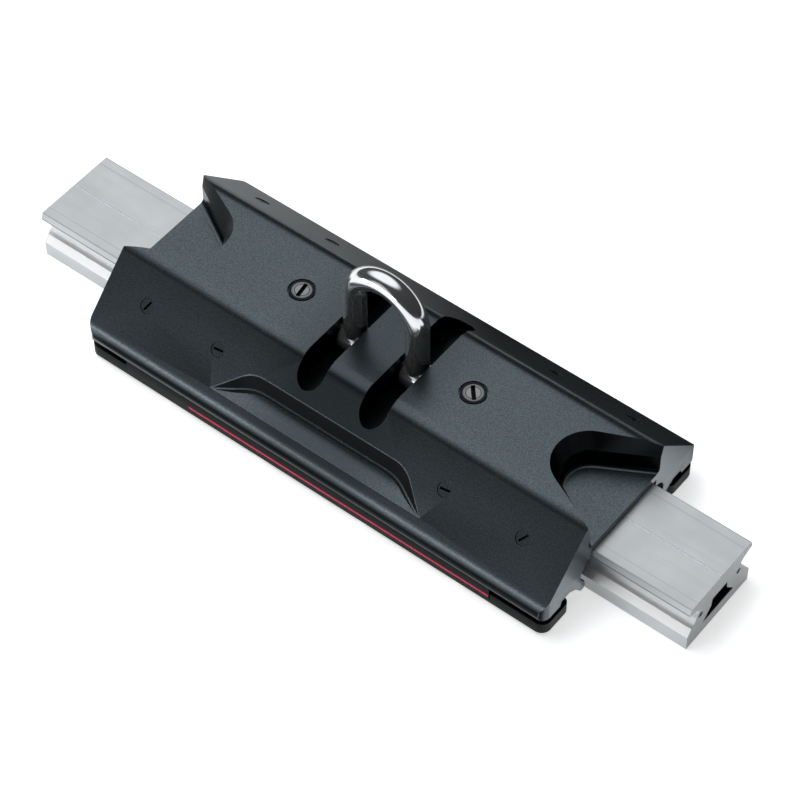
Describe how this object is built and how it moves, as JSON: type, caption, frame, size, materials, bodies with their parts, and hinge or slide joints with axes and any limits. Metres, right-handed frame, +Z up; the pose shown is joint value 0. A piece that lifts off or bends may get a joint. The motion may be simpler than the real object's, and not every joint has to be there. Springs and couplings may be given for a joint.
{
  "type": "mainsheet traveller car",
  "caption": "Ball-bearing mainsheet traveller car with a swinging bow shackle, sliding on a short length of T track.",
  "frame": {"origin": "under the middle of the car, on the deck face of the track", "axes": "+X along the track towards its shorter free end, +Y to the back of the car, +Z up from the deck; the scooped slope faces -Y"},
  "size_m": [0.3484, 0.1086, 0.089],
  "materials": {
    "body_anodised": "satin black hard anodised, fine speckle",
    "cover_plastic": "matt black",
    "trim_black": "satin black strip with a thin red line on the front one",
    "track_aluminium": "clear anodised, satin",
    "polished_steel": "mirror polished stainless steel",
    "bright_steel": "plain stainless steel",
    "grey_screw": "dulled stainless steel",
    "black_screw": "black coated",
    "ball_plastic": "moulded bearing plastic",
    "guide_plastic": "matt black acetal"
  },
  "bodies": {
    "rail": {"track": "track_aluminium"},
    "car": {"car_body": "body_anodised", "shackle_axle": "bright_steel", "axle_keeper": "black_screw", "keeper_screws": "grey_screw", "screw_cups": "black_screw", "race_insert_front": "bright_steel", "race_screws_front": "black_screw", "load_balls_front": "ball_plastic", "return_balls_front": "ball_plastic", "return_guide_front_left": "guide_plastic", "return_guide_front_right": "guide_plastic", "cover_front": "cover_plastic", "cover_screws_front": "bright_steel", "trim_strip_front": "trim_black", "race_insert_back": "bright_steel", "race_screws_back": "black_screw", "load_balls_back": "ball_plastic", "return_balls_back": "ball_plastic", "return_guide_back_left": "guide_plastic", "return_guide_back_right": "guide_plastic", "cover_back": "cover_plastic", "cover_screws_back": "bright_steel", "trim_strip_back": "trim_black"},
    "bow": {"shackle": "polished_steel"}
  },
  "joints": [
    {"name": "car_slide", "type": "slide", "parent": "rail", "child": "car", "axis": [1, 0, 0], "range_m": [-0.05, 0.045]},
    {"name": "shackle_swing", "type": "hinge", "parent": "car", "child": "bow", "pos_m": [0, 0, 0.0373], "axis": [1, 0, 0], "range_deg": [-78, 78]}
  ]
}
